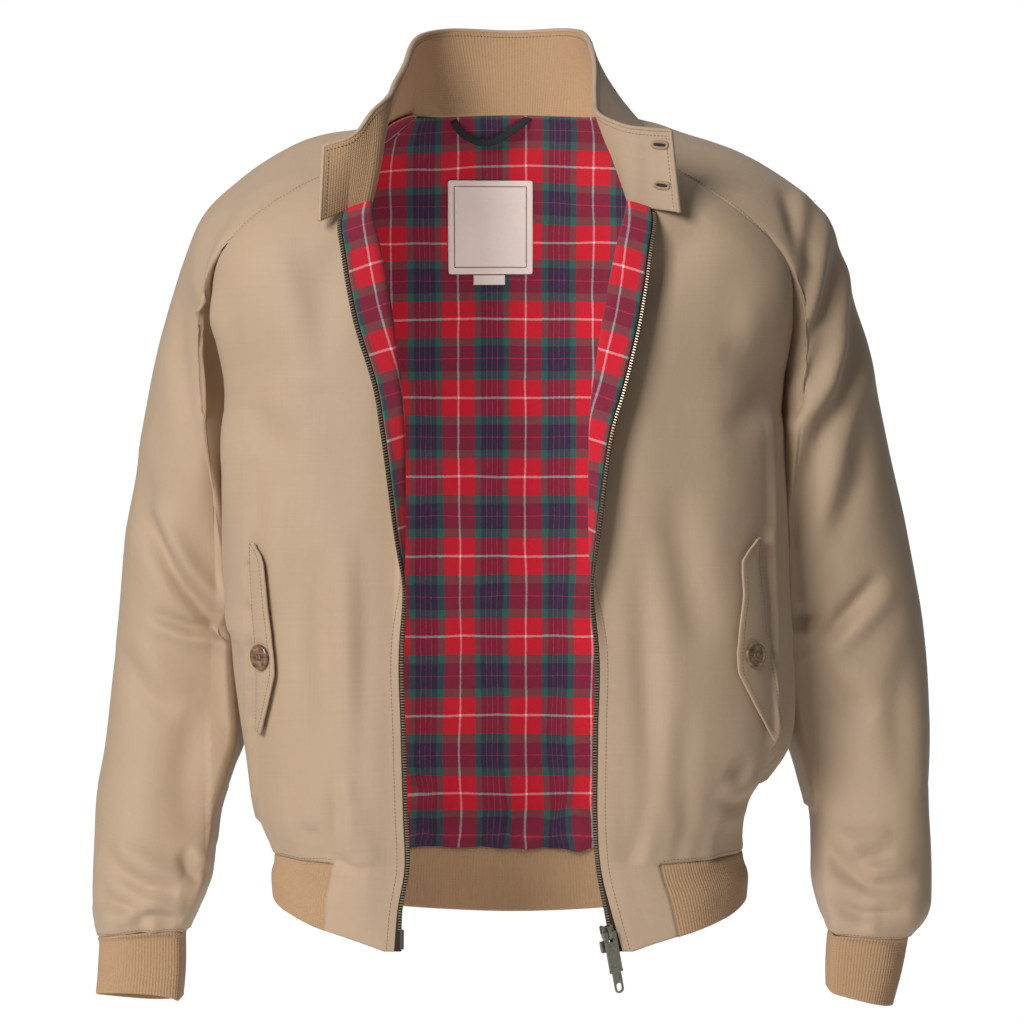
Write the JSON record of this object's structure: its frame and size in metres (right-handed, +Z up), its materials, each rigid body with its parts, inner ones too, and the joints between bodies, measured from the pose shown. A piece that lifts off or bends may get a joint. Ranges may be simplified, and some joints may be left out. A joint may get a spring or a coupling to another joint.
{
  "type": "harrington jacket",
  "caption": "Light zip-front jacket with raglan sleeves, stand collar, rib-knit cuffs and waistband and a checked lining, worn open and filled out with no wearer.",
  "frame": {"origin": "between the wearer's shoulders, at the height of the side of the neckline, where the jacket is carried", "axes": "+Z up, +X towards the wearer's left, +Y towards the wearer's back"},
  "size_m": [0.6962, 0.2968, 0.815],
  "materials": {
    "woven_shell": "matt tan cotton",
    "tartan_lining": "brushed red, green and navy check",
    "rib_knit": "tan rib knit",
    "label_cloth": "cream woven label, left bare",
    "button_horn": "brown, half gloss",
    "zip_metal": "dark antique metal",
    "zip_tape": "dark brown woven tape"
  },
  "bodies": {
    "jacket": {"front_right": "woven_shell", "front_left": "woven_shell", "back": "woven_shell", "sleeve_right": "woven_shell", "sleeve_left": "woven_shell", "collar_shell": "woven_shell", "collar_tab": "woven_shell", "pocket_flap_right": "woven_shell", "pocket_flap_left": "woven_shell", "lining_front_right": "tartan_lining", "lining_front_left": "tartan_lining", "lining_back": "tartan_lining", "lining_sleeve_right": "tartan_lining", "lining_sleeve_left": "tartan_lining", "hanger_loop": "tartan_lining", "cuff_right": "rib_knit", "cuff_left": "rib_knit", "waistband_rib": "rib_knit", "collar_rib": "rib_knit", "label": "label_cloth", "size_tab": "label_cloth", "pocket_button_right": "button_horn", "pocket_button_left": "button_horn", "collar_button_upper": "button_horn", "collar_button_lower": "button_horn", "zip_chain_right": "zip_metal", "zip_chain_left": "zip_metal", "zip_pin": "zip_metal", "zip_box": "zip_metal", "slider": "zip_metal", "zip_tape_right": "zip_tape", "zip_tape_left": "zip_tape"},
    "pull": {"pull_tab": "zip_metal"}
  },
  "joints": [
    {"name": "pull_tab_hinge", "type": "hinge", "parent": "jacket", "child": "pull", "pos_m": [0.07733, -0.12272, -0.655], "axis": [-0.9001, -0.3914, -0.1913], "range_deg": [0, 150]}
  ]
}
